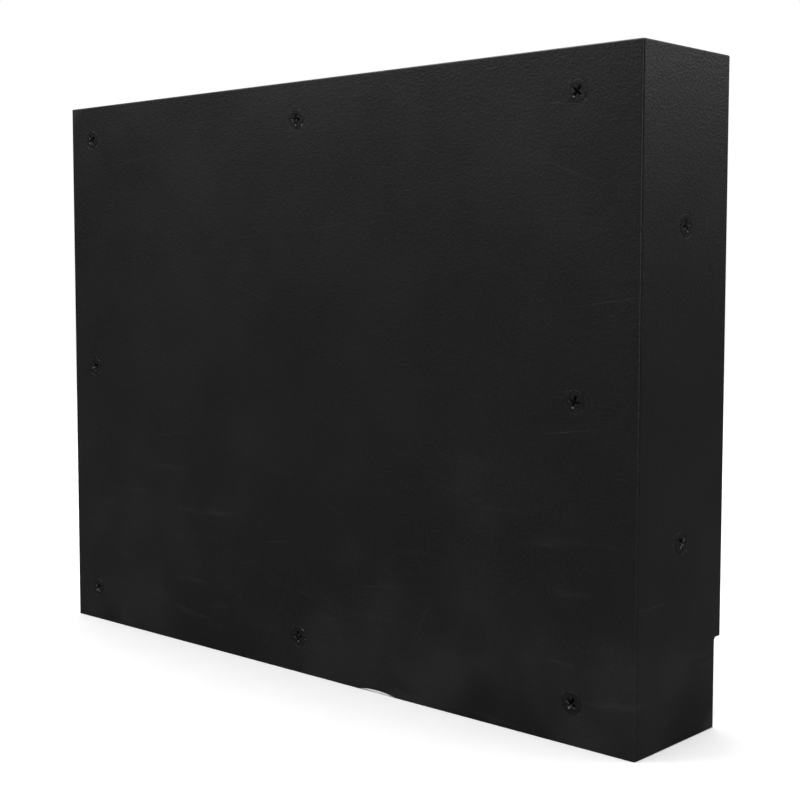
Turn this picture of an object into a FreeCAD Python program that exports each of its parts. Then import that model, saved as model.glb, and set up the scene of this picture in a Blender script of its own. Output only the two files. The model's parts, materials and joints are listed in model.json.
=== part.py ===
import FreeCAD, Part
import os
import Sketcher

# Wrap-around kick plate for the bottom lock-side corner of a door or gate leaf.
# One folded sheet covers the leaf's face, its edge and a strip of its rear face. It is held by
# countersunk screws and by four strips of double-sided foam tape behind the face.
#
# Row frame, millimetres: +Z up, the face looks along -Y, the folded edge is at +X. The origin is
# under the middle of the plate, on its bottom edge.
# The plate is drawn in a frame of its own whose origin is the free bottom corner of the face, so
# that its sizes are all counted from there. The body's Placement moves it into the row frame.

DRIVING_SIZES = {
    "leaf_thickness": 44.45,
    "sheet_thickness": 1.27,
    "tape_thickness": 0.5,
    "plate_height": 203.2,
    "face_width": 263.5,
    "rear_leg_width": 60.0,
    "fold_outer_radius": 0.8,
    "fold_inner_radius": 0.2,
    "edge_bevel": 0.3,
    "notch_height": 27.9,
    "notch_depth": 3.6,
    "notch_corner_radius": 1.1,
    "relief_from_fold": 99.6,
    "relief_half_width": 8.4,
    "relief_depth": 0.85,
    "edge_inset": 12.7,
    "fold_inset": 22.0,
    "edge_screw_low": 60.0,
    "edge_screw_high": 152.4,
    "head_diameter": 6.9,
    "head_rim": 0.08,
    "head_angle": 82.0,
    "head_clearance": 0.2,
    "shank_diameter": 3.5,
    "screw_length": 15.9,
    "point_length": 3.2,
    "tip_radius": 0.3,
    "recess_span": 3.8,
    "recess_span_bottom": 2.0,
    "recess_slot": 0.95,
    "recess_slot_bottom": 0.55,
    "recess_depth": 1.7,
    "tape_width": 19.0,
    "tape_inset": 22.0,
    "tape_gap": 1.5,
}

# Sizes that follow from the driving ones, as expressions that the objects are bound to.
DEPTH = "(Sizes.leaf_thickness + Sizes.tape_thickness + 2 * Sizes.sheet_thickness)"
RELIEF_RADIUS = (
    "((Sizes.relief_half_width ^ 2 + Sizes.relief_depth ^ 2) / (2 * Sizes.relief_depth))"
)
COLUMN_FREE = "Sizes.edge_inset"
COLUMN_FOLD = "(Sizes.face_width - Sizes.fold_inset)"
COLUMN_MIDDLE = f"(({COLUMN_FREE} + {COLUMN_FOLD}) / 2)"
COLUMN_REAR = "(Sizes.face_width - Sizes.rear_leg_width + Sizes.edge_inset)"
ROW_BOTTOM = "Sizes.edge_inset"
ROW_TOP = "(Sizes.plate_height - Sizes.edge_inset)"
ROW_MIDDLE = "(Sizes.plate_height / 2)"
ROW_REAR_BOTTOM = "(Sizes.notch_height + Sizes.edge_inset)"
ROW_REAR_MIDDLE = f"(({ROW_REAR_BOTTOM} + {ROW_TOP}) / 2)"
LEAF_CENTRE = "(Sizes.sheet_thickness + Sizes.tape_thickness + Sizes.leaf_thickness / 2)"

# Screw centres: on the face as (x, z), on the rear leg as (x, z) and on the edge as (y, z).
FACE_HOLES = [
    (COLUMN_FREE, ROW_BOTTOM),
    (COLUMN_MIDDLE, ROW_BOTTOM),
    (COLUMN_FOLD, ROW_BOTTOM),
    (COLUMN_FREE, ROW_MIDDLE),
    (COLUMN_FOLD, ROW_MIDDLE),
    (COLUMN_FREE, ROW_TOP),
    (COLUMN_MIDDLE, ROW_TOP),
    (COLUMN_FOLD, ROW_TOP),
]
REAR_HOLES = [
    (COLUMN_REAR, ROW_REAR_BOTTOM),
    (COLUMN_REAR, ROW_REAR_MIDDLE),
    (COLUMN_REAR, ROW_TOP),
]
EDGE_HOLES = [
    (LEAF_CENTRE, "Sizes.edge_screw_low"),
    (LEAF_CENTRE, "Sizes.edge_screw_high"),
]

ORIGIN_POINT = (-1, 1)
HORIZONTAL_AXIS = -1
VERTICAL_AXIS = -2
LINE_START = 1
CIRCLE_CENTRE = 3
NEAR = 0.001

X_AXIS = FreeCAD.Vector(1, 0, 0)
Y_AXIS = FreeCAD.Vector(0, 1, 0)
Z_AXIS = FreeCAD.Vector(0, 0, 1)

doc = FreeCAD.newDocument("WrapKickPlate")
sizes = doc.addObject("Spreadsheet::Sheet", "Sizes")


def fill_size_sheet():
    """Each driving size gets a row: its name, then its value under an alias of that name."""
    for row, (name, value) in enumerate(DRIVING_SIZES.items(), start=1):
        sizes.set(f"A{row}", name)
        sizes.set(f"B{row}", str(value))
        sizes.setAlias(f"B{row}", name)
    doc.recompute()


def value_of(expression):
    return float(sizes.evalExpression(expression))


def origin_feature(body, role):
    return next(item for item in body.Origin.OriginFeatures if item.Role == role)


def add_body(label):
    body = doc.addObject("PartDesign::Body", label)
    body.Label = label
    return body


def add_sketch(body, name, plane, offset="0"):
    """A sketch on one of the body's own origin planes, moved along the plane's normal."""
    sketch = body.newObject("Sketcher::SketchObject", name)
    sketch.AttachmentSupport = [(origin_feature(body, plane), "")]
    sketch.MapMode = "FlatFace"
    sketch.setExpression("AttachmentOffset.Base.z", offset)
    return sketch


def add_dimension(sketch, constraint, expression):
    index = sketch.addConstraint(constraint)
    sketch.setExpression(f"Constraints[{index}]", expression)


def pin_point(sketch, geometry, point, across, along):
    """Fixes a point by its two distances from the sketch's origin, either of which may be 0."""
    for kind, axis, expression in (
        ("DistanceX", VERTICAL_AXIS, across),
        ("DistanceY", HORIZONTAL_AXIS, along),
    ):
        if expression == "0":
            sketch.addConstraint(Sketcher.Constraint("PointOnObject", geometry, point, axis))
        else:
            distance = Sketcher.Constraint(
                kind, *ORIGIN_POINT, geometry, point, value_of(expression)
            )
            add_dimension(sketch, distance, expression)


def add_polygon(sketch, corners):
    """A closed outline of straight lines; each corner is a pair of expressions."""
    points = [FreeCAD.Vector(value_of(x), value_of(y), 0) for x, y in corners]
    count = len(points)
    for index in range(count):
        line = Part.LineSegment(points[index], points[(index + 1) % count])
        sketch.addGeometry(line, False)
    for index in range(count):
        sketch.addConstraint(
            Sketcher.Constraint("Coincident", index, 2, (index + 1) % count, LINE_START)
        )
    for index, (across, along) in enumerate(corners):
        pin_point(sketch, index, LINE_START, across, along)


def add_circle(sketch, across, along, diameter):
    centre = FreeCAD.Vector(value_of(across), value_of(along), 0)
    circle = Part.Circle(centre, Z_AXIS, value_of(diameter) / 2)
    geometry = sketch.addGeometry(circle, False)
    pin_point(sketch, geometry, CIRCLE_CENTRE, across, along)
    size = Sketcher.Constraint("Diameter", geometry, value_of(diameter))
    add_dimension(sketch, size, diameter)


def add_centred_rectangle(sketch, width, height):
    """A rectangle whose middle is the sketch's origin."""
    half_width = value_of(width) / 2
    half_height = value_of(height) / 2
    corners = [
        FreeCAD.Vector(-half_width, -half_height, 0),
        FreeCAD.Vector(half_width, -half_height, 0),
        FreeCAD.Vector(half_width, half_height, 0),
        FreeCAD.Vector(-half_width, half_height, 0),
    ]
    for index in range(4):
        sketch.addGeometry(Part.LineSegment(corners[index], corners[(index + 1) % 4]), False)
    for index in range(4):
        sketch.addConstraint(
            Sketcher.Constraint("Coincident", index, 2, (index + 1) % 4, LINE_START)
        )
    for index, direction in enumerate(("Horizontal", "Vertical", "Horizontal", "Vertical")):
        sketch.addConstraint(Sketcher.Constraint(direction, index))
    sketch.addConstraint(Sketcher.Constraint("Symmetric", 0, 1, 2, 1, *ORIGIN_POINT))
    add_dimension(
        sketch, Sketcher.Constraint("DistanceX", 0, 1, 0, 2, 2 * half_width), width
    )
    add_dimension(
        sketch, Sketcher.Constraint("DistanceY", 1, 1, 1, 2, 2 * half_height), height
    )


def edge_names(shape, wanted):
    """Names of the edges whose every vertex and middle point pass the test."""
    names = []
    for number, edge in enumerate(shape.Edges, start=1):
        middle = edge.valueAt((edge.FirstParameter + edge.LastParameter) / 2)
        points = [vertex.Point for vertex in edge.Vertexes]
        if all(wanted(point) for point in points + [middle]):
            names.append(f"Edge{number}")
    return names


def dress(body, kind, name, wanted, **bindings):
    """A Fillet or Chamfer on the edges of the body's tip that pass the test."""
    base = body.Tip
    feature = body.newObject(kind, name)
    feature.Base = (base, edge_names(base.Shape, wanted))
    for size, expression in bindings.items():
        feature.setExpression(size, expression)
    doc.recompute()
    return feature


def must_shrink(body, volume_before, step):
    """A cut that points away from the solid removes nothing and raises no error."""
    if body.Shape.Volume > volume_before - NEAR:
        raise RuntimeError(f"{step} removed nothing")


def near(first, second):
    return abs(first - second) < NEAR


def pad_folded_profile(body):
    """The plate seen from above: face, folded edge and rear leg, with square corners."""
    outer = "Sizes.face_width"
    inner = "(Sizes.face_width - Sizes.sheet_thickness)"
    leg_end = "(Sizes.face_width - Sizes.rear_leg_width)"
    face_back = "Sizes.sheet_thickness"
    leg_front = f"({DEPTH} - Sizes.sheet_thickness)"
    sketch = add_sketch(body, "PlateProfile", "XY_Plane")
    add_polygon(
        sketch,
        [
            ("0", "0"),
            (outer, "0"),
            (outer, DEPTH),
            (leg_end, DEPTH),
            (leg_end, leg_front),
            (inner, leg_front),
            (inner, face_back),
            ("0", face_back),
        ],
    )
    pad = body.newObject("PartDesign::Pad", "FoldedSheet")
    pad.Profile = sketch
    pad.setExpression("Length", "Sizes.plate_height")
    doc.recompute()


def round_folds(body):
    width = value_of("Sizes.face_width")
    depth = value_of(DEPTH)
    sheet = value_of("Sizes.sheet_thickness")

    def on_outer_fold(point):
        return near(point.x, width) and (near(point.y, 0) or near(point.y, depth))

    def on_inner_fold(point):
        at_face = near(point.y, sheet)
        at_leg = near(point.y, depth - sheet)
        return near(point.x, width - sheet) and (at_face or at_leg)

    dress(
        body, "PartDesign::Fillet", "OuterFolds", on_outer_fold,
        Radius="Sizes.fold_outer_radius",
    )
    dress(
        body, "PartDesign::Fillet", "InnerFolds", on_inner_fold,
        Radius="Sizes.fold_inner_radius",
    )


def cut_bottom_notch(body):
    """The rear leg and its fold stop above the bottom, clear of a sweep or threshold."""
    notch_wall = f"({DEPTH} - Sizes.notch_depth)"
    beyond = f"({DEPTH} + Sizes.notch_depth)"
    sketch = add_sketch(body, "NotchOutline", "YZ_Plane")
    add_polygon(
        sketch,
        [
            (notch_wall, "0"),
            (beyond, "0"),
            (beyond, "Sizes.notch_height"),
            (notch_wall, "Sizes.notch_height"),
        ],
    )
    before = body.Shape.Volume
    notch = body.newObject("PartDesign::Pocket", "BottomNotch")
    notch.Profile = sketch
    notch.Type = "ThroughAll"
    notch.Reversed = True
    doc.recompute()
    must_shrink(body, before, "the bottom notch")

    wall = value_of(notch_wall)
    height = value_of("Sizes.notch_height")

    def in_notch_corner(point):
        return near(point.y, wall) and near(point.z, height)

    dress(
        body, "PartDesign::Fillet", "NotchCorner", in_notch_corner,
        Radius="Sizes.notch_corner_radius",
    )


def bevel_outer_edges(body):
    """A small bevel all round the face, edge and rear leg, where the sheet ends."""
    width = value_of("Sizes.face_width")
    depth = value_of(DEPTH)
    radius = value_of("Sizes.fold_outer_radius")
    top = value_of("Sizes.plate_height")
    notch = value_of("Sizes.notch_height")
    leg_end = width - value_of("Sizes.rear_leg_width")

    def on_skin(point):
        """True on the sheet's outer side, the two rounded folds included."""
        on_flat = near(point.y, 0) or near(point.y, depth) or near(point.x, width)
        from_axis = point.x - (width - radius)
        if on_flat or from_axis < NEAR:
            return on_flat
        for axis_y in (radius, depth - radius):
            if near((from_axis**2 + (point.y - axis_y) ** 2) ** 0.5, radius):
                return True
        return False

    def on_sheet_end(point):
        free_side = near(point.x, 0)
        leg_side = near(point.x, leg_end) and point.y > depth / 2
        leg_bottom = near(point.z, notch) and point.y > depth - radius
        return near(point.z, 0) or near(point.z, top) or free_side or leg_side or leg_bottom

    dress(
        body, "PartDesign::Chamfer", "EdgeBevel",
        lambda point: on_skin(point) and on_sheet_end(point),
        Size="Sizes.edge_bevel",
    )


def cut_pry_relief(body):
    """A shallow arc in the bottom edge of the face, to get a blade behind the plate."""
    across = "(Sizes.face_width - Sizes.relief_from_fold)"
    below = f"(Sizes.relief_depth - {RELIEF_RADIUS})"
    sketch = add_sketch(body, "ReliefOutline", "XZ_Plane")
    add_circle(sketch, across, below, f"(2 * {RELIEF_RADIUS})")
    before = body.Shape.Volume
    relief = body.newObject("PartDesign::Pocket", "PryRelief")
    relief.Profile = sketch
    relief.setExpression("Length", "2 * Sizes.sheet_thickness")
    doc.recompute()
    must_shrink(body, before, "the pry relief")


def drill_screw_holes(body, name, plane, offset, centres, from_behind=False):
    """Countersunk holes through the sheet that lies on the given plane."""
    through = "(Sizes.shank_diameter + 6 * Sizes.head_clearance)"
    sketch = add_sketch(body, name + "Centres", plane, offset)
    for across, along in centres:
        add_circle(sketch, across, along, through)
    doc.recompute()
    before = body.Shape.Volume
    hole = body.newObject("PartDesign::Hole", name)
    hole.Profile = sketch
    hole.HoleCutType = "Countersink"
    hole.HoleCutCustomValues = True
    hole.DepthType = "Dimension"
    hole.DrillPoint = "Flat"
    hole.Reversed = from_behind
    hole.setExpression("Diameter", through)
    hole.setExpression("HoleCutDiameter", "Sizes.head_diameter + Sizes.head_clearance")
    hole.setExpression("HoleCutCountersinkAngle", "Sizes.head_angle")
    hole.setExpression("Depth", "2 * Sizes.sheet_thickness")
    doc.recompute()
    must_shrink(body, before, name)


def move_to_row_frame(item, x="0", y="0", z="0"):
    """Places an object whose own frame starts at the face's free bottom corner."""
    item.setExpression("Placement.Base.x", f"{x} - Sizes.face_width / 2")
    item.setExpression("Placement.Base.y", f"{y} - {DEPTH} / 2")
    item.setExpression("Placement.Base.z", z)


def build_wrap_plate():
    body = add_body("wrap_plate")
    pad_folded_profile(body)
    round_folds(body)
    cut_bottom_notch(body)
    bevel_outer_edges(body)
    cut_pry_relief(body)
    drill_screw_holes(body, "FaceHoles", "XZ_Plane", "0", FACE_HOLES)
    drill_screw_holes(body, "EdgeHoles", "YZ_Plane", "Sizes.face_width", EDGE_HOLES)
    drill_screw_holes(body, "RearHoles", "XZ_Plane", f"-{DEPTH}", REAR_HOLES, from_behind=True)
    move_to_row_frame(body)
    return body


def build_screw():
    """One undercut flat-head screw: head top at its origin, point along +Z."""
    head_radius = "(Sizes.head_diameter / 2)"
    head_foot = (
        f"({head_radius} - (Sizes.sheet_thickness - Sizes.head_rim)"
        " * tan(Sizes.head_angle / 2 * 1deg))"
    )
    shank_radius = "(Sizes.shank_diameter / 2)"
    body = add_body("screw_pattern")
    profile = add_sketch(body, "ScrewProfile", "XZ_Plane")
    add_polygon(
        profile,
        [
            ("0", "0"),
            (head_radius, "0"),
            (head_radius, "Sizes.head_rim"),
            (head_foot, "Sizes.sheet_thickness"),
            (shank_radius, "Sizes.sheet_thickness"),
            (shank_radius, "(Sizes.screw_length - Sizes.point_length)"),
            ("Sizes.tip_radius", "Sizes.screw_length"),
            ("0", "Sizes.screw_length"),
        ],
    )
    turned = body.newObject("PartDesign::Revolution", "TurnedBlank")
    turned.Profile = profile
    turned.ReferenceAxis = (profile, ["V_Axis"])
    turned.Angle = 360
    doc.recompute()

    mouth = add_sketch(body, "RecessMouth", "XY_Plane")
    add_centred_rectangle(mouth, "Sizes.recess_span", "Sizes.recess_slot")
    floor = add_sketch(body, "RecessFloor", "XY_Plane", "Sizes.recess_depth")
    add_centred_rectangle(floor, "Sizes.recess_span_bottom", "Sizes.recess_slot_bottom")
    doc.recompute()
    before = body.Shape.Volume
    slot = body.newObject("PartDesign::SubtractiveLoft", "RecessSlot")
    slot.Profile = mouth
    slot.Sections = [floor]
    slot.Ruled = True
    doc.recompute()
    must_shrink(body, before, "the recess slot")

    before = body.Shape.Volume
    cross = body.newObject("PartDesign::PolarPattern", "CrossRecess")
    cross.Originals = [slot]
    cross.Axis = (origin_feature(body, "Z_Axis"), [""])
    cross.Angle = 90
    cross.Occurrences = 2
    body.Tip = cross
    doc.recompute()
    must_shrink(body, before, "the second recess slot")
    return body


def build_screw_group(label, screw, places, direction):
    """Separate screws in one node, each with its point along the given direction."""
    links = []
    for number, (x, y, z) in enumerate(places, start=1):
        link = doc.addObject("App::Link", f"{label}_{number}")
        link.LinkedObject = screw
        link.Placement = FreeCAD.Placement(
            FreeCAD.Vector(0, 0, 0), FreeCAD.Rotation(Z_AXIS, direction)
        )
        link.setExpression("Placement.Base.x", x)
        link.setExpression("Placement.Base.y", y)
        link.setExpression("Placement.Base.z", z)
        links.append(link)
    group = doc.addObject("Part::Compound", label)
    group.Label = label
    group.Links = links
    move_to_row_frame(group)
    return group


def build_screws():
    screw = build_screw()
    face_places = [(x, "0", z) for x, z in FACE_HOLES]
    edge_places = [("Sizes.face_width", y, z) for y, z in EDGE_HOLES]
    rear_places = [(x, DEPTH, z) for x, z in REAR_HOLES]
    return [
        build_screw_group("face_screws", screw, face_places, Y_AXIS),
        build_screw_group("edge_screws", screw, edge_places, -X_AXIS),
        build_screw_group("rear_leg_screws", screw, rear_places, -Y_AXIS),
    ]


def build_tape(label, x, z, length, height):
    strip = doc.addObject("Part::Box", label)
    strip.Label = label
    strip.setExpression("Length", length)
    strip.setExpression("Width", "Sizes.tape_thickness")
    strip.setExpression("Height", height)
    move_to_row_frame(strip, x, "Sizes.sheet_thickness", z)
    return strip


def build_tapes():
    """A ring of four strips behind the face, inside the rows of screws."""
    inset = "Sizes.tape_inset"
    width = "Sizes.tape_width"
    ring_length = "(Sizes.face_width - Sizes.fold_inset - 2 * Sizes.tape_inset)"
    upper = f"(Sizes.plate_height - {inset} - {width})"
    right = f"({inset} + {ring_length} - {width})"
    side_start = f"({inset} + {width} + Sizes.tape_gap)"
    side_length = f"({upper} - Sizes.tape_gap - {side_start})"
    return [
        build_tape("tape_bottom", inset, inset, ring_length, width),
        build_tape("tape_top", inset, upper, ring_length, width),
        build_tape("tape_free_side", inset, side_start, width, side_length),
        build_tape("tape_fold_side", right, side_start, width, side_length),
    ]


def check_document(sub_parts):
    for item in doc.Objects:
        if "Invalid" in item.State or "Error" in item.State:
            raise RuntimeError(f"{item.Label} did not compute: {item.State}")
    for part in sub_parts:
        if part.Shape.isNull() or not part.Shape.isValid():
            raise RuntimeError(f"{part.Label} has no valid shape")


def write_parts(sub_parts):
    os.makedirs("parts", exist_ok=True)
    for part in sub_parts:
        part.Shape.exportStep(f"parts/{part.Label}.step")
        box = part.Shape.BoundBox
        print(
            f"{part.Label}: {len(part.Shape.Solids)} solid(s),"
            f" x {box.XMin:.2f}..{box.XMax:.2f},"
            f" y {box.YMin:.2f}..{box.YMax:.2f}, z {box.ZMin:.2f}..{box.ZMax:.2f}"
        )


fill_size_sheet()
sub_parts = [build_wrap_plate()] + build_screws() + build_tapes()
doc.recompute()
check_document(sub_parts)
write_parts(sub_parts)
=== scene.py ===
import json
import math

import bmesh
import bpy
import numpy as np
from mathutils import Matrix, Vector, noise
from mathutils.geometry import delaunay_2d_cdt


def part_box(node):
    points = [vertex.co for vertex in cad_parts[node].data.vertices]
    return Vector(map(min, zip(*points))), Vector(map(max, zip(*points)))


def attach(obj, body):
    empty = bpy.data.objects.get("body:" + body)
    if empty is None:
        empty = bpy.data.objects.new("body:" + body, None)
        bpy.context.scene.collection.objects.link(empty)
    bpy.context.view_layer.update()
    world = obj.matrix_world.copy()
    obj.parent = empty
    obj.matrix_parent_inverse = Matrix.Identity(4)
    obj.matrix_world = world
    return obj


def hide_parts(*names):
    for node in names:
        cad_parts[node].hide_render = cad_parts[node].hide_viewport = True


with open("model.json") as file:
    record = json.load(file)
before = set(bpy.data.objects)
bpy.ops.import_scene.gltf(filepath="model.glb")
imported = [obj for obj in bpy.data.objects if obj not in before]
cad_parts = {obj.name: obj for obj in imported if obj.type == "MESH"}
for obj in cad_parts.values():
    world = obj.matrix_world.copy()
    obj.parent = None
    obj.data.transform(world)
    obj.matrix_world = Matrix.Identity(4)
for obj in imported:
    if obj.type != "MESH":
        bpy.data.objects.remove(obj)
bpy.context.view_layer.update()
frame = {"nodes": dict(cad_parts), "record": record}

# Looks of the wrap-around kick plate: the folded, bevelled and powder-coated sheet, its thirteen
# screws with real threads and cross recesses, and the four strips of foam tape behind the face.
# Meshes are drawn in millimetres and scaled to metres once, in closed_mesh.

MM = 0.001
RECORD = frame["record"]
BODY = "root"
FACE_AXIS = Vector((0, 1, 0))
EDGE_AXIS = Vector((-1, 0, 0))
REAR_AXIS = Vector((0, -1, 0))


# ---------------------------------------------------------------- sizes read from the frame

def mount_place(name):
    place = next(mount["pos_m"] for mount in RECORD["mounts"] if mount["name"] == name)
    return Vector(place) / MM


def node_points(node):
    vertices = frame["nodes"][node].data.vertices
    points = np.zeros(len(vertices) * 3)
    vertices.foreach_get("co", points)
    return points.reshape(-1, 3) / MM


def screw_centres(node, plane_axes):
    """Centres of a node's separate screws, on the two row axes across their length."""
    head_width_and_margin = 10.0
    groups = []
    for point in node_points(node)[:, plane_axes]:
        for group in groups:
            if np.linalg.norm(point - group[0]) < head_width_and_margin:
                group.append(point)
                break
        else:
            groups.append([point])
    return [(np.min(group, 0) + np.max(group, 0)) / 2 for group in groups]


# Millimetres. The plate's outside, sheet and notch are measured on the frame; the small radii, the
# relief and the bevel can't be, and repeat the part's own values.
PLATE_LOW, PLATE_HIGH = (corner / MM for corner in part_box("wrap_plate"))
WIDTH, DEPTH, HEIGHT = PLATE_HIGH - PLATE_LOW
SHEET = PLATE_HIGH.x - mount_place("leaf_edge_seat").x
PLATE_POINTS = node_points("wrap_plate")
BEHIND_LEAF = PLATE_POINTS[PLATE_POINTS[:, 1] > mount_place("rear_leg_seat").y + SHEET / 2]
LEG_WIDTH = PLATE_HIGH.x - BEHIND_LEAF[:, 0].min()
NOTCH_HEIGHT = BEHIND_LEAF[:, 2].min()
BOTTOM_POINTS = PLATE_POINTS[PLATE_POINTS[:, 2] < NOTCH_HEIGHT / 2]
NOTCH_DEPTH = PLATE_HIGH.y - BOTTOM_POINTS[:, 1].max()
NOTCH_RADIUS = 1.1
FOLD_OUTER = 0.8
FOLD_INNER = 0.2
FOLD_STEPS = 8
RELIEF_STEPS = 14
NOTCH_STEPS = 8
BLEND_LENGTH = 2.5
RELIEF_FROM_FOLD = 99.6
RELIEF_CENTRE = WIDTH - RELIEF_FROM_FOLD
RELIEF_HALF_WIDTH = 8.4
RELIEF_DEPTH = 0.85
EDGE_BEVEL = 0.3

# Screw holes: radii at the outer and the inner skin, sides, and (radius, sides) of the rings of
# points around each hole. GRID is the spacing of the points on the flats.
SINK_TOP = 3.55
SINK_FOOT = 2.446
HOLE_SIDES = 64
RINGS_ROUND_HOLE = ((4.3, 48), (5.4, 32), (7.0, 24))
GRID = 7.0


# ---------------------------------------------------------------- small mesh helpers

def rounded_path(corners, steps=3):
    """Points along a path of straight runs; each corner is (across, depth, rounding radius)."""
    path = []
    for number, (across, depth, radius) in enumerate(corners):
        corner = Vector((across, depth))
        if radius == 0:
            path.append(tuple(corner))
            continue
        before = (Vector(corners[number - 1][:2]) - corner).normalized()
        after = (Vector(corners[number + 1][:2]) - corner).normalized()
        half_angle = before.angle(after) / 2
        centre = corner + (before + after).normalized() * radius / math.sin(half_angle)
        first = corner + before * radius / math.tan(half_angle) - centre
        last = corner + after * radius / math.tan(half_angle) - centre
        for step in range(steps + 1):
            path.append(tuple(centre + radius * first.slerp(last, step / steps)))
    return path


def closed_mesh(name, points, faces, material):
    """A mesh in metres from millimetre points, shaded smooth except over sharp corners."""
    same_place, no_length = 1e-5, 1e-6
    sharp = math.radians(50)
    mesh = bpy.data.meshes.new(name)
    mesh.from_pydata([tuple(point) for point in points], [], faces)
    bm = bmesh.new()
    bm.from_mesh(mesh)
    bmesh.ops.remove_doubles(bm, verts=bm.verts, dist=same_place)
    bmesh.ops.dissolve_degenerate(bm, edges=bm.edges, dist=no_length)
    bmesh.ops.recalc_face_normals(bm, faces=bm.faces)
    bmesh.ops.scale(bm, vec=(MM, MM, MM), verts=bm.verts)
    for face in bm.faces:
        face.smooth = True
    for edge in bm.edges:
        edge.smooth = edge.calc_face_angle() < sharp
    bm.to_mesh(mesh)
    bm.free()
    mesh.materials.append(material)
    return mesh


def ring_faces(first, second):
    """Quads that join two closed rings, each a sequence of point indices."""
    count = len(first)
    steps = [(side, (side + 1) % count) for side in range(count)]
    return [[first[a], first[b], second[b], second[a]] for a, b in steps]


def add_piece(name, mesh, matrix=None):
    piece = bpy.data.objects.new(name, mesh)
    bpy.context.scene.collection.objects.link(piece)
    if matrix is not None:
        piece.matrix_world = matrix
    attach(piece, BODY)
    return piece


def weight_normals(piece):
    """Keeps the flats flat where they meet the small rounded edges."""
    modifier = piece.modifiers.new("weighted_normals", "WEIGHTED_NORMAL")
    modifier.weight = 100
    modifier.keep_sharp = True


# ---------------------------------------------------------------- the folded sheet

class FoldLine:
    """Where a point of the unrolled sheet lies on the folded one, on its outer or inner skin.

    s runs along the sheet from the face's free edge, round both folds, to the rear leg's end.
    """

    def __init__(self):
        arc = math.pi / 2 * FOLD_OUTER
        self.face_end = WIDTH - FOLD_OUTER
        self.web_start = self.face_end + arc
        self.web_end = self.web_start + DEPTH - 2 * FOLD_OUTER
        self.leg_start = self.web_end + arc
        self.length = self.leg_start + LEG_WIDTH - FOLD_OUTER
        self.notch = self.web_start + DEPTH - NOTCH_DEPTH - FOLD_OUTER

        inner_x = WIDTH - SHEET
        inner_leg = DEPTH - SHEET
        before = WIDTH - FOLD_OUTER - BLEND_LENGTH
        near_face = FOLD_OUTER + BLEND_LENGTH
        near_leg = DEPTH - near_face
        leg_end = WIDTH - LEG_WIDTH
        self.columns = []
        self.stations = []
        self.add_station(0, (0, 0), (0, SHEET))
        self.add_station(self.face_end - BLEND_LENGTH, (before, 0), (before, SHEET))
        self.add_fold(self.face_end, -90, FOLD_OUTER, SHEET + FOLD_INNER)
        self.add_station(self.web_start + BLEND_LENGTH, (WIDTH, near_face), (inner_x, near_face))
        self.add_station(self.web_end - BLEND_LENGTH, (WIDTH, near_leg), (inner_x, near_leg))
        self.add_fold(self.web_end, 0, DEPTH - FOLD_OUTER, inner_leg - FOLD_INNER)
        self.add_station(self.leg_start + BLEND_LENGTH, (before, DEPTH), (before, inner_leg))
        self.add_station(self.length, (leg_end, DEPTH), (leg_end, inner_leg))
        self.table = np.array(self.stations)

    def add_station(self, s, outer, inner):
        self.stations.append((s, *outer, *inner))

    def add_fold(self, start, first_angle, outer_y, inner_y):
        """One quarter turn about axes at the given depths, one for each skin."""
        for step in range(FOLD_STEPS + 1):
            share = step / FOLD_STEPS
            angle = math.radians(first_angle + 90 * share)
            outer = (WIDTH - FOLD_OUTER + FOLD_OUTER * math.cos(angle),
                     outer_y + FOLD_OUTER * math.sin(angle))
            inner = (WIDTH - SHEET - FOLD_INNER + FOLD_INNER * math.cos(angle),
                     inner_y + FOLD_INNER * math.sin(angle))
            s = start + math.pi / 2 * FOLD_OUTER * share
            self.columns.append(s)
            self.add_station(s, outer, inner)

    def point(self, s, z, depth, sink):
        """Row-frame point, depth below the outer skin, pushed sink towards the leaf."""
        table = self.table
        outer = np.array([np.interp(s, table[:, 0], table[:, 1]),
                          np.interp(s, table[:, 0], table[:, 2])])
        inner = np.array([np.interp(s, table[:, 0], table[:, 3]),
                          np.interp(s, table[:, 0], table[:, 4])])
        across = (inner - outer) / np.linalg.norm(inner - outer)
        x, y = outer + (inner - outer) * depth / SHEET + across * sink
        return (x + PLATE_LOW.x, y + PLATE_LOW.y, z + PLATE_LOW.z)


def split_run(start, end, stops):
    """Values from start up to but not at end: the stops between, and steps of about GRID."""
    low, high = min(start, end), max(start, end)
    marks = [low] + sorted(stop for stop in stops if low < stop < high) + [high]
    values = []
    for first, second in zip(marks, marks[1:]):
        count = max(1, round((second - first) / GRID))
        values += [first + (second - first) * step / count for step in range(count)]
    values.append(high)
    if start > end:
        values.reverse()
    return values[:-1]


def arc_points(centre, radius, first, last, steps):
    """Points on an arc, its last point left out; angles in degrees."""
    angles = [math.radians(first + (last - first) * step / steps) for step in range(steps)]
    return [(centre[0] + radius * math.cos(a), centre[1] + radius * math.sin(a)) for a in angles]


def circle_points(centre, radius, sides):
    turns = [2 * math.pi * side / sides for side in range(sides)]
    return [(centre[0] + radius * math.cos(turn), centre[1] + radius * math.sin(turn))
            for turn in turns]


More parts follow.
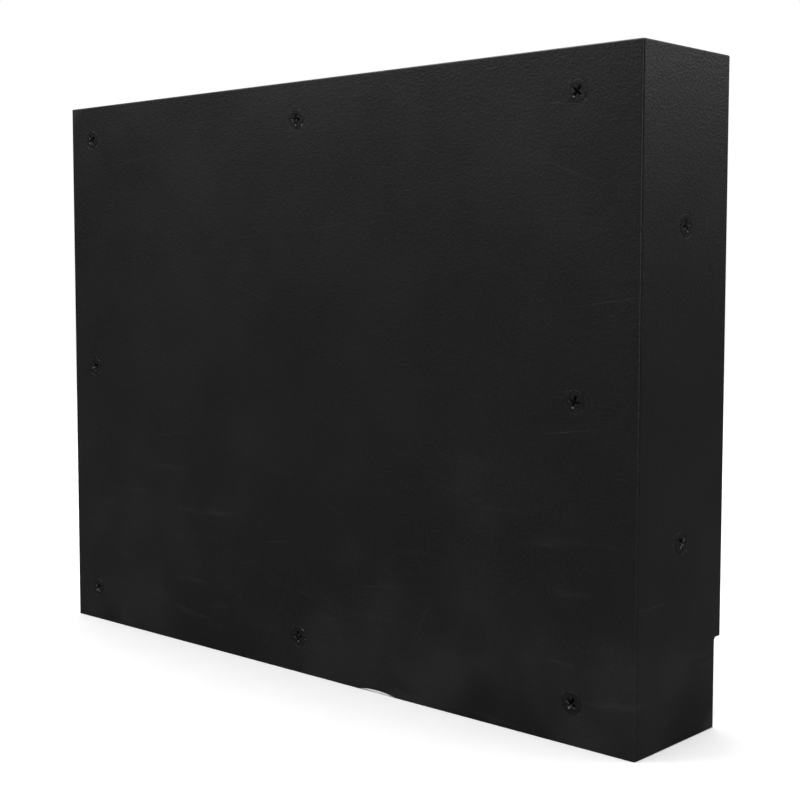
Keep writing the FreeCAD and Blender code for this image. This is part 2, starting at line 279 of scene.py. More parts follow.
def sheet_outline(line):
    """The unrolled sheet's outline as (s, z), anticlockwise from the bottom free corner."""
    stops = line.columns + [line.face_end - BLEND_LENGTH, line.web_start + BLEND_LENGTH,
                            line.web_end - BLEND_LENGTH, line.leg_start + BLEND_LENGTH]
    relief_radius = (RELIEF_HALF_WIDTH**2 + RELIEF_DEPTH**2) / (2 * RELIEF_DEPTH)
    half_angle = math.degrees(math.asin(RELIEF_HALF_WIDTH / relief_radius))
    relief_start = RELIEF_CENTRE - RELIEF_HALF_WIDTH
    relief_end = RELIEF_CENTRE + RELIEF_HALF_WIDTH
    outline = [(s, 0.0) for s in split_run(0, relief_start, stops)]
    outline += arc_points((RELIEF_CENTRE, RELIEF_DEPTH - relief_radius), relief_radius,
                          90 + half_angle, 90 - half_angle, RELIEF_STEPS)
    outline += [(s, 0.0) for s in split_run(relief_end, line.notch, stops)]
    outline += [(line.notch, z) for z in split_run(0, NOTCH_HEIGHT - NOTCH_RADIUS, [])]
    outline += arc_points((line.notch + NOTCH_RADIUS, NOTCH_HEIGHT - NOTCH_RADIUS),
                          NOTCH_RADIUS, 180, 90, NOTCH_STEPS)
    fillet_end = line.notch + NOTCH_RADIUS
    outline += [(s, NOTCH_HEIGHT) for s in split_run(fillet_end, line.length, stops)]
    outline += [(line.length, z) for z in split_run(NOTCH_HEIGHT, HEIGHT, [])]
    outline += [(s, HEIGHT) for s in split_run(line.length, 0, stops)]
    outline += [(0.0, z) for z in split_run(HEIGHT, 0, [])]
    return np.array(outline)


def inward_steps(outline):
    """For each corner of a closed anticlockwise outline, its move for 1 mm of inset."""
    along = np.roll(outline, -1, 0) - outline
    along /= np.linalg.norm(along, axis=1)[:, None]
    normals = np.c_[-along[:, 1], along[:, 0]]
    before = np.roll(normals, 1, 0)
    return (normals + before) / (1 + (normals * before).sum(1))[:, None]


# The sheet's edge from the outer skin to the inner one, as (inset, depth below the outer skin):
# a 45 degree bevel whose corners the coating has rounded, then the cut side.
EDGE_PROFILE = rounded_path([
    (EDGE_BEVEL + 0.3, 0.0, 0), (EDGE_BEVEL, 0.0, 0.25), (0.0, EDGE_BEVEL, 0.25),
    (0.0, SHEET, 0.12), (0.25, SHEET, 0),
])

# A countersunk hole from the outer skin to the inner one, as (radius, depth).
SINK_PROFILE = rounded_path([
    (SINK_TOP + 0.25, 0.0, 0), (SINK_TOP, 0.0, 0.2), (SINK_FOOT, SHEET, 0.05),
    (SINK_FOOT + 0.3, SHEET, 0),
])


def unrolled_holes(line):
    """Every screw hole's centre on the unrolled sheet."""
    low = PLATE_LOW
    holes = [(x - low.x, z - low.z) for x, z in screw_centres("face_screws", [0, 2])]
    for y, z in screw_centres("edge_screws", [1, 2]):
        holes.append((line.web_start + y - low.y - FOLD_OUTER, z - low.z))
    for x, z in screw_centres("rear_leg_screws", [0, 2]):
        holes.append((line.leg_start + PLATE_HIGH.x - FOLD_OUTER - x, z - low.z))
    return np.array(holes)


def inner_grid(line, holes):
    """Points that fill the flats, clear of the outline, the folds and the holes."""
    flats = [(0, line.face_end, 0), (line.web_start, line.web_end, 0),
             (line.leg_start, line.length, NOTCH_HEIGHT)]
    margin = 2.5
    clear_of_hole = 8.5
    points = []
    for start, end, bottom in flats:
        columns = split_run(start + margin, end - margin, []) + [end - margin]
        rows = split_run(bottom + margin, HEIGHT - margin, []) + [HEIGHT - margin]
        for s in columns:
            for z in rows:
                in_notch = s > line.notch - margin and z < NOTCH_HEIGHT + margin
                from_hole = np.hypot(*(holes - (s, z)).T).min()
                if from_hole > clear_of_hole and not (in_notch and bottom == 0):
                    points.append((s, z))
    return points


def skin_sink(line, holes, s, z):
    """How far the flat sheet is drawn towards the leaf: dished at the screws, barely wavy."""
    dish_depth, dish_radius = 0.05, 11.0
    wave_depth, wave_along, wave_up, wave_seed = 0.05, 70, 60, 3.1
    fade_length = 14.0
    in_flat = min(abs(s - edge) for edge in
                  (0, line.face_end, line.web_start, line.web_end, line.leg_start, line.length))
    from_end = min(in_flat, z, HEIGHT - z)
    calm = min(1.0, max(0.0, from_end / fade_length))
    calm = calm * calm * (3 - 2 * calm)
    distance = np.hypot(*(holes - (s, z)).T).min()
    dish = dish_depth * math.exp(-((distance / dish_radius) ** 2))
    swell = noise.noise(Vector((s / wave_along, z / wave_up, wave_seed)))
    wave = wave_depth * (0.5 + 0.5 * swell)
    return calm * (wave + dish)


class SheetMesh:
    """Collects the folded sheet's points and faces from its unrolled layout."""

    def __init__(self):
        self.line = FoldLine()
        self.holes = unrolled_holes(self.line)
        self.outline = sheet_outline(self.line)
        self.inward = inward_steps(self.outline)
        self.flat = []
        self.edges = []
        self.points = []
        self.faces = []

    def add_flat_loop(self, loop):
        first = len(self.flat)
        count = len(loop)
        self.flat += [tuple(point) for point in loop]
        self.edges += [(first + i, first + (i + 1) % count) for i in range(count)]
        return list(range(first, first + count))

    def add_fold_columns(self, boundary):
        """Upright rows of points on the folds, so that both bends stay true cylinders."""
        rims = {}
        for index in boundary:
            s, z = self.flat[index]
            rims.setdefault(round(s, 4), []).append((z, index))
        for column in self.line.columns:
            ends = sorted(rims[round(column, 4)])
            (low, low_index), (high, high_index) = ends[0], ends[-1]
            inner = split_run(low, high, [])[1:]
            chain = [low_index]
            for z in inner:
                chain.append(len(self.flat))
                self.flat.append((column, z))
            chain.append(high_index)
            self.edges += list(zip(chain, chain[1:]))

    def lay_out(self):
        """The unrolled sheet's triangles, shared by the outer and the inner skin."""
        self.boundary = self.add_flat_loop(self.outline + self.inward * EDGE_PROFILE[0][0])
        rim = SINK_PROFILE[0][0]
        inside_rim = rim * 0.997
        same_place = 1e-6
        self.rims = []
        for hole in self.holes:
            self.rims.append(self.add_flat_loop(circle_points(hole, rim, HOLE_SIDES)))
            for radius, sides in RINGS_ROUND_HOLE:
                self.flat += circle_points(hole, radius, sides)
        self.add_fold_columns(self.boundary)
        self.flat += inner_grid(self.line, self.holes)
        points = [Vector(point) for point in self.flat]
        result = delaunay_2d_cdt(points, self.edges, [], 1, same_place)
        out_points, _, triangles, sources = result[:4]
        source = [group[0] for group in sources]
        wanted = []
        for triangle in triangles:
            middle = sum((out_points[i] for i in triangle), Vector((0, 0))) / len(triangle)
            in_hole = np.hypot(*(self.holes - tuple(middle)).T).min() < inside_rim
            in_notch = middle.x > self.line.notch and middle.y < NOTCH_HEIGHT
            if not in_hole and not in_notch:
                wanted.append([source[i] for i in triangle])
        self.triangles = wanted

    def put(self, s, z, depth, sink):
        self.points.append(self.line.point(s, z, depth, sink))
        return len(self.points) - 1

    def add_skin(self, depth, places, flip):
        """One skin: every layout point at this depth, with some of them moved to places."""
        index = {}
        for number in sorted({i for triangle in self.triangles for i in triangle}):
            s, z = places.get(number, self.flat[number])
            sink = skin_sink(self.line, self.holes, *self.flat[number])
            index[number] = self.put(s, z, depth, sink)
        for triangle in self.triangles:
            corners = [index[i] for i in triangle]
            self.faces.append(corners[::-1] if flip else corners)
        return index

    def add_side(self, outer_index, inner_index, loop, ring_at, steps):
        """Closes one edge of the sheet, outline or hole, along its profile."""
        sinks = [skin_sink(self.line, self.holes, *self.flat[number]) for number in loop]
        previous = [outer_index[number] for number in loop]
        for step in steps[1:-1]:
            ring = ring_at(step[0])
            current = [self.put(*place, step[1], sink) for place, sink in zip(ring, sinks)]
            self.faces += ring_faces(previous, current)
            previous = current
        self.faces += ring_faces(previous, [inner_index[number] for number in loop])

    def build(self):
        self.lay_out()
        inner_outline = self.outline + self.inward * EDGE_PROFILE[-1][0]
        moved = dict(zip(self.boundary, map(tuple, inner_outline)))
        for hole, rim in zip(self.holes, self.rims):
            moved.update(zip(rim, circle_points(hole, SINK_PROFILE[-1][0], HOLE_SIDES)))
        outer = self.add_skin(0.0, {}, False)
        inner = self.add_skin(SHEET, moved, True)
        self.add_side(outer, inner, self.boundary,
                      lambda inset: self.outline + self.inward * inset, EDGE_PROFILE)
        for hole, rim in zip(self.holes, self.rims):
            self.add_side(outer, inner, rim,
                          lambda radius, at=hole: circle_points(at, radius, HOLE_SIDES),
                          SINK_PROFILE)


def build_plate(material):
    sheet = SheetMesh()
    sheet.build()
    mesh = closed_mesh("wrap_plate_coated", sheet.points, sheet.faces, material)
    plate = add_piece("wrap_plate_coated", mesh)
    weight_normals(plate)
    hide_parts("wrap_plate")


# ---------------------------------------------------------------- screws

# A number 6 screw in millimetres; depths are counted from the head's top towards the point.
HEAD_RADIUS = 3.45
HEAD_FOOT = 2.4155
HEAD_RIM = 0.08
NECK_RADIUS = 1.42
NECK_END = 2.35
NECK_FADE = 0.8
THREAD_CORE = 1.28
THREAD_CREST = 1.74
THREAD_PITCH = 1.41
THREAD_HALF_WIDTH = 0.22
RINGS_PER_PITCH = 16
SCREW_LENGTH = 15.9
POINT_LENGTH = 3.6
POINT_FULLNESS = 0.8
POINT_CREST = 0.2
POINT_CREST_LENGTH = POINT_LENGTH * 0.86
TIP_RADIUS = 0.10

# The cross recess from its floor upwards, as (half span, half slot, corner rounding, depth), and
# the rings round its mouth, as (widening of the mouth's outline, depth).
RECESS_FLOOR = 1.70
RECESS_SECTIONS = (
    (0.55, 0.20, 0.05, 1.62),
    (0.92, 0.26, 0.08, 1.45),
    (1.25, 0.33, 0.10, 0.95),
    (1.62, 0.40, 0.13, 0.42),
    (1.83, 0.46, 0.16, 0.10),
)
RECESS_MOUTH = (1.92, 0.50, 0.18)
MOUTH_RINGS = ((1.012, 0.018), (1.04, 0.0), (1.10, 0.0))

# The undercut head from its flat top round to the neck, as (radius, depth).
HEAD_PROFILE = rounded_path([
    (3.2, 0.0, 0), (HEAD_RADIUS, 0.0, 0.06), (HEAD_RADIUS, HEAD_RIM, 0.05),
    (HEAD_FOOT, SHEET, 0.08), (NECK_RADIUS, SHEET, 0.30), (NECK_RADIUS, SHEET + 0.62, 0),
])


def cross_outline(half_span, half_slot, rounding):
    """A cross recess's outline, anticlockwise, as points; every size gives the same count."""
    shares_along_arm = (0.0, 0.12, 0.3, 0.6, 0.85)
    corner_angles = (-90, -60, -30, 0)
    lower = []
    for share in shares_along_arm:
        reach = half_slot + (half_span - rounding - half_slot) * share
        lower.append((reach, -half_slot))
    for angle in corner_angles:
        turn = math.radians(angle)
        lower.append((half_span - rounding + rounding * math.cos(turn),
                      -half_slot + rounding + rounding * math.sin(turn)))
    upper = [(x, -y) for x, y in reversed(lower[1:])]
    outline = []
    for quarter in range(4):
        turn = quarter * math.pi / 2
        for x, y in lower + upper:
            outline.append((x * math.cos(turn) - y * math.sin(turn),
                            x * math.sin(turn) + y * math.cos(turn)))
    return outline


def recess_rings():
    """Rings of points from the recess floor up to its rounded mouth and just round it."""
    rings = []
    for half_span, half_slot, rounding, depth in RECESS_SECTIONS:
        rings.append([(x, y, depth) for x, y in cross_outline(half_span, half_slot, rounding)])
    mouth = cross_outline(*RECESS_MOUTH)
    for widening, depth in MOUTH_RINGS:
        rings.append([(x * widening, y * widening, depth) for x, y in mouth])
    return rings


def core_radius(depth):
    """Radius of the shank between the threads: neck, even core, then a slightly full point."""
    left = SCREW_LENGTH - depth
    if left < POINT_LENGTH:
        share = (left / POINT_LENGTH) ** POINT_FULLNESS
        return TIP_RADIUS + (THREAD_CORE - TIP_RADIUS) * share
    blend = min(1.0, (depth - NECK_END) / NECK_FADE)
    return NECK_RADIUS + (THREAD_CORE - NECK_RADIUS) * blend


def thread_radius(depth, angle):
    """Radius of the shank at a depth and an angle: the core plus a right-hand thread."""
    phase = ((depth - NECK_END) / THREAD_PITCH - angle / (2 * math.pi)) % 1
    flank = max(0.0, 1 - abs(phase - 0.5) / THREAD_HALF_WIDTH)
    rise = flank * flank * (3 - 2 * flank)
    start = min(1.0, (depth - NECK_END) / THREAD_PITCH)
    left = SCREW_LENGTH - depth
    crest_at_point = POINT_CREST + (THREAD_CREST - POINT_CREST) * left / POINT_CREST_LENGTH
    height = max(0.0, min(THREAD_CREST, crest_at_point) - core_radius(depth))
    return core_radius(depth) + height * start * rise


def screw_rings():
    """Every ring of a screw, from the recess floor over the head and down to the point."""
    rings = recess_rings()
    sides = len(rings[0])
    first_x, first_y, _ = rings[0][0]
    start = math.atan2(first_y, first_x)
    angles = [start + 2 * math.pi * side / sides for side in range(sides)]
    for radius, depth in HEAD_PROFILE:
        rings.append([(radius * math.cos(a), radius * math.sin(a), depth) for a in angles])
    count = round((SCREW_LENGTH - NECK_END) / THREAD_PITCH * RINGS_PER_PITCH)
    for step in range(count):
        depth = NECK_END + (SCREW_LENGTH - NECK_END) * step / count
        radii = [thread_radius(depth, a) for a in angles]
        rings.append([(radius * math.cos(a), radius * math.sin(a), depth)
                      for radius, a in zip(radii, angles)])
    return rings


def build_screw_mesh(material):
    """One screw, head top at its origin and point along +Z, with a true helical thread."""
    rings = screw_rings()
    sides = len(rings[0])
    points = [point for ring in rings for point in ring]
    indices = [range(number * sides, (number + 1) * sides) for number in range(len(rings))]
    faces = []
    for first, second in zip(indices, indices[1:]):
        faces += ring_faces(first, second)
    recess_floor = len(points)
    tip = recess_floor + 1
    points += [(0.0, 0.0, RECESS_FLOOR), (0.0, 0.0, SCREW_LENGTH)]
    for side in range(sides):
        after = (side + 1) % sides
        faces.append([recess_floor, indices[0][after], indices[0][side]])
        faces.append([tip, indices[-1][side], indices[-1][after]])
    return closed_mesh("screw", points, faces, material)


def place_screws(mesh, node, axis, plane_axes, top):
    """Puts one screw on each CAD screw of the node, its recess turned a little differently."""
    degrees_per_screw, degrees_per_axis = 37.0, 11.0
    point_along = axis.to_track_quat("Z", "X").to_matrix().to_4x4()
    axis_index = 3 - sum(plane_axes)
    for number, centre in enumerate(screw_centres(node, plane_axes), start=1):
        place = Vector((0, 0, 0))
        place[plane_axes[0]], place[plane_axes[1]] = centre
        place[axis_index] = top
        turn = degrees_per_screw * number + degrees_per_axis * axis_index
        spin = Matrix.Rotation(math.radians(turn), 4, "Z")
        matrix = Matrix.Translation(place * MM) @ point_along @ spin
        screw = add_piece(f"{node[:-1]}_{number}", mesh, matrix)
        weight_normals(screw)
        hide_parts(node)


# ---------------------------------------------------------------- foam tape

# Layers through the tape's thickness as (share of the thickness, inset of the cut side), then how
# ragged the cut sides are and how far the free face sags, each with its noise's waves per mm.
TAPE_GRID = 1.5
TAPE_LAYERS = ((0.0, 0.13), (0.10, 0.02), (0.5, 0.06), (0.90, 0.02), (1.0, 0.13))
TAPE_WOBBLE, WOBBLE_WAVES = 0.07, 0.45
TAPE_SAG, SAG_WAVES, SAG_SEED = 0.012, 0.12, 7.7


def build_tape(node, material):
    """A cut strip of foam tape: flat faces, slightly crushed and ragged cut sides."""
    low, high = (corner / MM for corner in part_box(node))
    size = high - low
    columns = max(2, round(size.x / TAPE_GRID))
    rows = max(2, round(size.z / TAPE_GRID))
    free_layer = len(TAPE_LAYERS) - 1
    points = []
    faces = []

    def place(column, row, layer):
        x = size.x * column / columns
        z = size.z * row / rows
        thickness_share, inset = TAPE_LAYERS[layer]
        wobble = noise.noise(Vector((x * WOBBLE_WAVES, z * WOBBLE_WAVES, size.x)))
        pull = inset + TAPE_WOBBLE * (1 + wobble)
        if column in (0, columns):
            x += pull if column == 0 else -pull
        if row in (0, rows):
            z += pull if row == 0 else -pull
        inner = 0 < column < columns and 0 < row < rows
        sag = 0.0
        if layer == free_layer and inner:
            sag = TAPE_SAG * (1 + noise.noise(Vector((x * SAG_WAVES, z * SAG_WAVES, SAG_SEED))))
        y = size.y * thickness_share - sag
        return (low.x + x, low.y + y, low.z + z)

    def add_face_grid(layer, flip):
        first = len(points)
        for row in range(rows + 1):
            points.extend(place(column, row, layer) for column in range(columns + 1))
        for row in range(rows):
            for column in range(columns):
                a = first + row * (columns + 1) + column
                quad = [a, a + 1, a + columns + 2, a + columns + 1]
                faces.append(quad[::-1] if flip else quad)

    rim = [(column, 0) for column in range(columns)]
    rim += [(columns, row) for row in range(rows)]
    rim += [(column, rows) for column in range(columns, 0, -1)]
    rim += [(0, row) for row in range(rows, 0, -1)]
    add_face_grid(0, True)
    add_face_grid(free_layer, False)
    rings = []
    for layer in range(len(TAPE_LAYERS)):
        rings.append(range(len(points), len(points) + len(rim)))
        points.extend(place(column, row, layer) for column, row in rim)
    for first, second in zip(rings, rings[1:]):
        faces += ring_faces(first, second)
    mesh = closed_mesh(f"{node}_foam", points, faces, material)
    tape = add_piece(f"{node}_foam", mesh)
    weight_normals(tape)
    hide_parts(node)


# ---------------------------------------------------------------- materials

class Nodes:
    """A short way to write a material's node tree."""

    def __init__(self, name):
        self.material = bpy.data.materials.new(name)
        self.material.use_nodes = True
        self.tree = self.material.node_tree
        self.tree.nodes.clear()
        self.shader = self.tree.nodes.new("ShaderNodeBsdfPrincipled")
        output = self.tree.nodes.new("ShaderNodeOutputMaterial")
        self.link(self.shader.outputs["BSDF"], output.inputs["Surface"])
        self.place = self.tree.nodes.new("ShaderNodeTexCoord").outputs["Object"]

    def link(self, source, target):
        self.tree.links.new(source, target)

    def put(self, socket, value):
        if isinstance(value, bpy.types.NodeSocket):
            self.link(value, socket)
        else:
            socket.default_value = value

    def noise(self, size_mm, detail=2.0, rough=0.5, stretch=(1, 1, 1)):
        """Noise whose features are about size_mm across on the real object."""
        mapping = self.tree.nodes.new("ShaderNodeMapping")
        mapping.inputs["Scale"].default_value = stretch
        self.link(self.place, mapping.inputs["Vector"])
        texture = self.tree.nodes.new("ShaderNodeTexNoise")
        texture.inputs["Scale"].default_value = 1 / (size_mm * MM)
        texture.inputs["Detail"].default_value = detail
        texture.inputs["Roughness"].default_value = rough
        self.link(mapping.outputs["Vector"], texture.inputs["Vector"])
        return texture.outputs["Fac"]

    def cells(self, size_mm):
        """Distance to the nearest cell middle, with cells about size_mm apart."""
        texture = self.tree.nodes.new("ShaderNodeTexVoronoi")
        texture.inputs["Scale"].default_value = 1 / (size_mm * MM)
        self.link(self.place, texture.inputs["Vector"])
        return texture.outputs["Distance"]

    def span(self, value, low, high, to_low=0.0, to_high=1.0):
        """Maps low..high to to_low..to_high, held at both ends."""
        node = self.tree.nodes.new("ShaderNodeMapRange")
        limits = (low, high, to_low, to_high)
        for socket, number in zip(node.inputs[1:5], limits):
            socket.default_value = number
        self.link(value, node.inputs[0])
        return node.outputs[0]

    def math(self, kind, first, second):
        node = self.tree.nodes.new("ShaderNodeMath")
        node.operation = kind
        self.put(node.inputs[0], first)
        self.put(node.inputs[1], second)
        return node.outputs[0]

    def blend(self, share, first, second):
        """Mixes two colours; the mix node keeps a socket of its own for each type of value."""
        share_in, first_color_in, second_color_in, color_out = 0, 6, 7, 2
        node = self.tree.nodes.new("ShaderNodeMix")
        node.data_type = "RGBA"
        self.put(node.inputs[share_in], share)
        self.put(node.inputs[first_color_in], first)
        self.put(node.inputs[second_color_in], second)
        return node.outputs[color_out]

    def height(self):
        """The point's height above its object's origin, in metres."""
        split = self.tree.nodes.new("ShaderNodeSeparateXYZ")
        self.link(self.place, split.inputs[0])
        return split.outputs["Z"]

    def distance(self):
        """The point's distance from its object's origin, in metres."""
        length = self.tree.nodes.new("ShaderNodeVectorMath")
        length.operation = "LENGTH"
        self.link(self.place, length.inputs[0])
        return length.outputs["Value"]

    def scratches(self, apart_mm, reach, turn):
        """Sparse straight fine scratches, tilted by turn degrees in the plane of the face.

        Each is a thin slice of a Voronoi cell that is stretched along the scratch and in depth.
        """
        stretch = 0.012
        tilt = self.tree.nodes.new("ShaderNodeMapping")
        tilt.inputs["Rotation"].default_value = (0, math.radians(turn), 0)
        self.link(self.place, tilt.inputs["Vector"])
        squash = self.tree.nodes.new("ShaderNodeMapping")
        squash.inputs["Scale"].default_value = (stretch, stretch, 1)
        self.link(tilt.outputs["Vector"], squash.inputs["Vector"])
        texture = self.tree.nodes.new("ShaderNodeTexVoronoi")
        texture.inputs["Scale"].default_value = 1 / (apart_mm * MM)
        self.link(squash.outputs["Vector"], texture.inputs["Vector"])
        return self.span(texture.outputs["Distance"], 0.0, reach, 1.0, 0.0)

    def ray(self, kind):
        return self.tree.nodes.new("ShaderNodeLightPath").outputs[kind]

    def edges(self):
        """1 on convex edges, 0.5 on flats, 0 in corners."""
        return self.tree.nodes.new("ShaderNodeNewGeometry").outputs["Pointiness"]

    def bump(self, height, depth_mm, normal=None):
        node = self.tree.nodes.new("ShaderNodeBump")
        node.inputs["Strength"].default_value = 1.0
        node.inputs["Distance"].default_value = depth_mm * MM
        self.link(height, node.inputs["Height"])
        if normal is not None:
            self.link(normal, node.inputs["Normal"])
        return node.outputs["Normal"]

    def finish(self, color, roughness, metallic=0.0, specular=0.5, normal=None):
        self.put(self.shader.inputs["Base Color"], color)
        self.put(self.shader.inputs["Roughness"], roughness)
        self.put(self.shader.inputs["Metallic"], metallic)
        self.put(self.shader.inputs["Specular IOR Level"], specular)
        if normal is not None:
            self.link(normal, self.shader.inputs["Normal"])
        return self.material


def powder_coat():
    """Satin black powder coat: fine grain, orange peel, sparse scratches, scuffs and dust."""
    nodes = Nodes("satin_black_powder_coat")
    grain = nodes.noise(0.85, rough=0.55)
    peel = nodes.noise(2.6, detail=1.0, rough=0.4)
    patches = nodes.noise(42.0, detail=3.0, rough=0.55)
    smears = nodes.noise(7.0, detail=4.0, rough=0.6, stretch=(0.22, 0.22, 1.6))
    specks = nodes.cells(1.3)

    low_down = nodes.span(nodes.height(), 0.0, 0.09, 1.0, 0.10)
    scuff = nodes.math("MULTIPLY", nodes.span(smears, 0.60, 0.76), low_down)
    dust = nodes.math("MULTIPLY", nodes.span(patches, 0.45, 0.75), low_down)
    scratch = nodes.math("MAXIMUM", nodes.scratches(2.4, 0.075, 8.0),
                         nodes.scratches(3.1, 0.055, -21.0))
    scratch = nodes.math("MAXIMUM", scratch, nodes.scratches(3.7, 0.045, 64.0))

    worn = nodes.span(nodes.edges(), 0.56, 0.64, 0.0, 0.5)
    deep_black, black = (0.0042, 0.0042, 0.0045, 1), (0.0075, 0.0075, 0.0080, 1)
    dusty, scuffed = (0.022, 0.021, 0.019, 1), (0.026, 0.026, 0.027, 1)
    scratched, rubbed = (0.034, 0.034, 0.036, 1), (0.030, 0.030, 0.032, 1)
    tone = nodes.blend(nodes.span(grain, 0.35, 0.65), deep_black, black)
    tone = nodes.blend(nodes.math("MULTIPLY", dust, 0.45), tone, dusty)
    tone = nodes.blend(nodes.math("MULTIPLY", scuff, 0.40), tone, scuffed)
    tone = nodes.blend(nodes.math("MULTIPLY", scratch, 0.55), tone, scratched)
    tone = nodes.blend(worn, tone, rubbed)

    rough = nodes.span(patches, 0.3, 0.7, 0.36, 0.44)
    rough = nodes.math("ADD", rough, nodes.math("MULTIPLY", scuff, 0.14))
    rough = nodes.math("ADD", rough, nodes.math("MULTIPLY", dust, 0.10))

    normal = nodes.bump(peel, 0.030)
    normal = nodes.bump(grain, 0.080, normal)
    normal = nodes.bump(nodes.span(specks, 0.0, 0.30, 1.0, 0.0), 0.030, normal)
    normal = nodes.bump(scratch, -0.010, normal)
    return nodes.finish(tone, rough, normal=normal)


def black_oxide():
    """Black-oxided steel: dark, faintly oily, patchy, with a few small bare specks."""
    nodes = Nodes("black_oxide_steel")
    mottle = nodes.noise(1.1, detail=3.0)
    fine = nodes.noise(0.16)
    bare = nodes.span(nodes.noise(0.5, detail=3.0), 0.68, 0.76, 0.0, 0.6)
    blue_black, brown_black = (0.040, 0.041, 0.045, 1), (0.076, 0.072, 0.069, 1)
    bare_steel = (0.20, 0.195, 0.19, 1)
    tone = nodes.blend(nodes.span(mottle, 0.35, 0.7), blue_black, brown_black)
    tone = nodes.blend(bare, tone, bare_steel)
    rough = nodes.span(mottle, 0.3, 0.7, 0.26, 0.40)
    normal = nodes.bump(fine, 0.006)
    return nodes.finish(tone, rough, metallic=0.9, normal=normal)


def foam_tape():
    """Dark grey acrylic foam tape: closed cells with painted shade in their pits, a pebbled and
    slightly tacky skin.
    """
    nodes = Nodes("acrylic_foam_tape")
    cells = nodes.cells(0.45)
    pebbles = nodes.noise(1.4, rough=0.6)
    mottle = nodes.noise(11.0, detail=3.0)
    # The cells' pits are darkened with painted shade, where the bump below makes them dip.
    pit_shade = nodes.span(cells, 0.0, 0.45, 1.0, 0.0)
    dark_foam, light_foam = (0.021, 0.021, 0.023, 1), (0.027, 0.027, 0.029, 1)
    pit_shade_black = (0.007, 0.007, 0.008, 1)
    tone = nodes.blend(nodes.span(mottle, 0.3, 0.7), dark_foam, light_foam)
    tone = nodes.blend(nodes.math("MULTIPLY", pit_shade, 0.55), tone, pit_shade_black)
    rough = nodes.span(pebbles, 0.3, 0.7, 0.46, 0.62)
    normal = nodes.bump(nodes.span(cells, 0.0, 0.5), 0.06)
    normal = nodes.bump(pebbles, 0.07, normal)
    return nodes.finish(tone, rough, specular=0.4, normal=normal)


def studio_paper():
    """White paper that fades into the white backdrop far out, and is dim in reflections."""
    fade_start, fade_end = 0.6, 1.7
    nodes = Nodes("studio_paper")
    mottle = nodes.noise(25.0, detail=4.0)
    grey_white, white = (0.87, 0.87, 0.87, 1), (0.89, 0.89, 0.89, 1)
    in_reflections = (0.05, 0.05, 0.052, 1)
    tone = nodes.blend(nodes.span(mottle, 0.3, 0.7), grey_white, white)
    tone = nodes.blend(nodes.ray("Is Glossy Ray"), tone, in_reflections)
    alpha = nodes.span(nodes.distance(), fade_start, fade_end, 1.0, 0.0)
    nodes.put(nodes.shader.inputs["Alpha"], alpha)
    return nodes.finish(tone, 0.8, specular=0.1)


# ---------------------------------------------------------------- stage, light and camera

def build_stage():
    """A plain pale floor, round, under the object; in metres."""
    radius = 1.8
    sides = 96
    rim = [(x, y, 0.0) for x, y in circle_points((0, 0), radius, sides)]
    floor = bpy.data.meshes.new("floor")
    floor.from_pydata(rim, [], [list(range(sides))])
    floor.materials.append(studio_paper())
    stage = bpy.data.objects.new("floor", floor)
    bpy.context.scene.collection.objects.link(stage)


def add_area_light(name, place, target, width, height, power):
    """A soft box aimed at target; metres and watts."""
    light = bpy.data.lights.new(name, "AREA")
    light.shape = "RECTANGLE"
    light.size = width
    light.size_y = height
    light.energy = power
    lamp = bpy.data.objects.new(name, light)
    lamp.location = place
    lamp.rotation_mode = "QUATERNION"
    lamp.rotation_quaternion = (Vector(target) - Vector(place)).to_track_quat("-Z", "Y")
    bpy.context.scene.collection.objects.link(lamp)


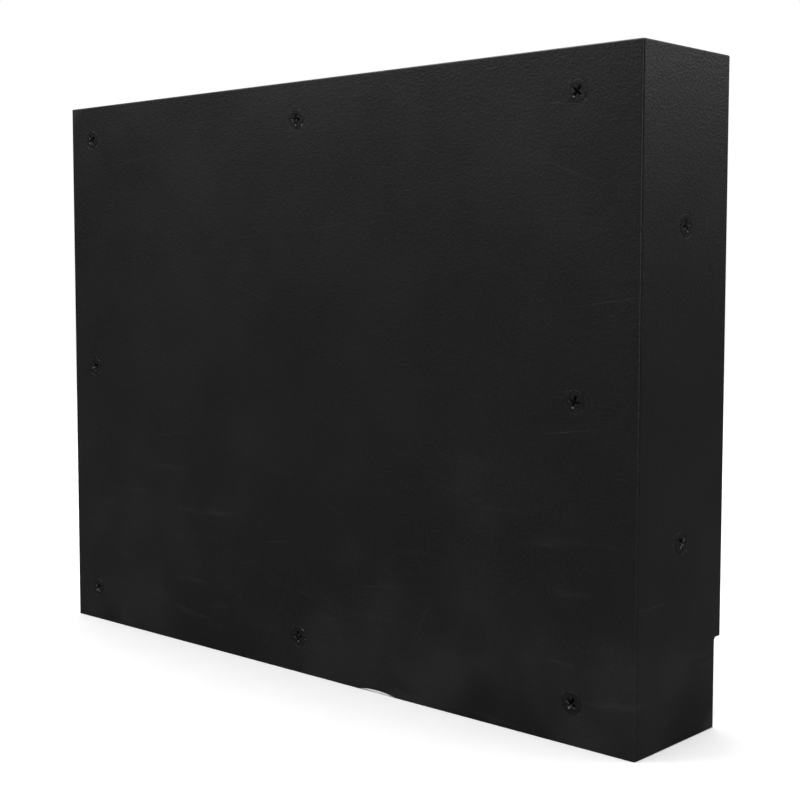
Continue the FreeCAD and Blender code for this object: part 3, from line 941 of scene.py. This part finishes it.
def light_studio():
    """Soft boxes all round; the backdrop is plain white to the camera and dim otherwise."""
    dim, white = 0.07, 1.0
    world = bpy.data.worlds.new("studio")
    world.use_nodes = True
    tree = world.node_tree
    rays = tree.nodes.new("ShaderNodeLightPath")
    strength = tree.nodes.new("ShaderNodeMapRange")
    strength.inputs["To Min"].default_value = dim
    strength.inputs["To Max"].default_value = white
    tree.links.new(rays.outputs["Is Camera Ray"], strength.inputs["Value"])
    background = tree.nodes["Background"]
    background.inputs["Color"].default_value = (1, 1, 1, 1)
    tree.links.new(strength.outputs["Result"], background.inputs["Strength"])
    bpy.context.scene.world = world
    middle = (0.0, 0.0, 0.1)
    add_area_light("key", (-1.5, -1.3, 1.5), middle, 1.2, 1.2, 18)
    add_area_light("edge_strip", (1.15, -1.3, 0.62), middle, 0.22, 1.1, 5)
    add_area_light("back", (1.2, 1.7, 1.2), middle, 1.2, 1.2, 9)
    add_area_light("overhead", (0.0, 0.0, 2.4), middle, 3.4, 3.4, 128)
    view = bpy.context.scene.view_settings
    view.view_transform = "Standard"
    view.look = "None"


def add_camera():
    """The photo's viewpoint, counted from the plate's near bottom corner."""
    corner = Vector((PLATE_HIGH.x, PLATE_LOW.y, PLATE_LOW.z))
    from_corner = Vector((218.20, -346.90, 140.35))
    turn, tilt, roll = 43.217, 4.245, 0.077
    camera = bpy.data.cameras.new("camera")
    camera.sensor_width = 36.0
    camera.lens = 65.22
    camera.shift_x = 0.0529
    camera.shift_y = -0.0307
    camera.clip_start = 0.01
    camera.clip_end = 50
    holder = bpy.data.objects.new("camera", camera)
    holder.matrix_world = (
        Matrix.Translation((corner + from_corner) * MM)
        @ Matrix.Rotation(math.radians(turn), 4, "Z")
        @ Matrix.Rotation(math.radians(90 - tilt), 4, "X")
        @ Matrix.Rotation(math.radians(-roll), 4, "Z")
    )
    bpy.context.scene.collection.objects.link(holder)
    bpy.context.scene.camera = holder


build_plate(powder_coat())
SCREW = build_screw_mesh(black_oxide())
place_screws(SCREW, "face_screws", FACE_AXIS, [0, 2], PLATE_LOW.y)
place_screws(SCREW, "edge_screws", EDGE_AXIS, [1, 2], PLATE_HIGH.x)
place_screws(SCREW, "rear_leg_screws", REAR_AXIS, [0, 2], PLATE_HIGH.y)
TAPE = foam_tape()
for tape_node in ("tape_top", "tape_bottom", "tape_free_side", "tape_fold_side"):
    build_tape(tape_node, TAPE)
build_stage()
light_studio()
add_camera()
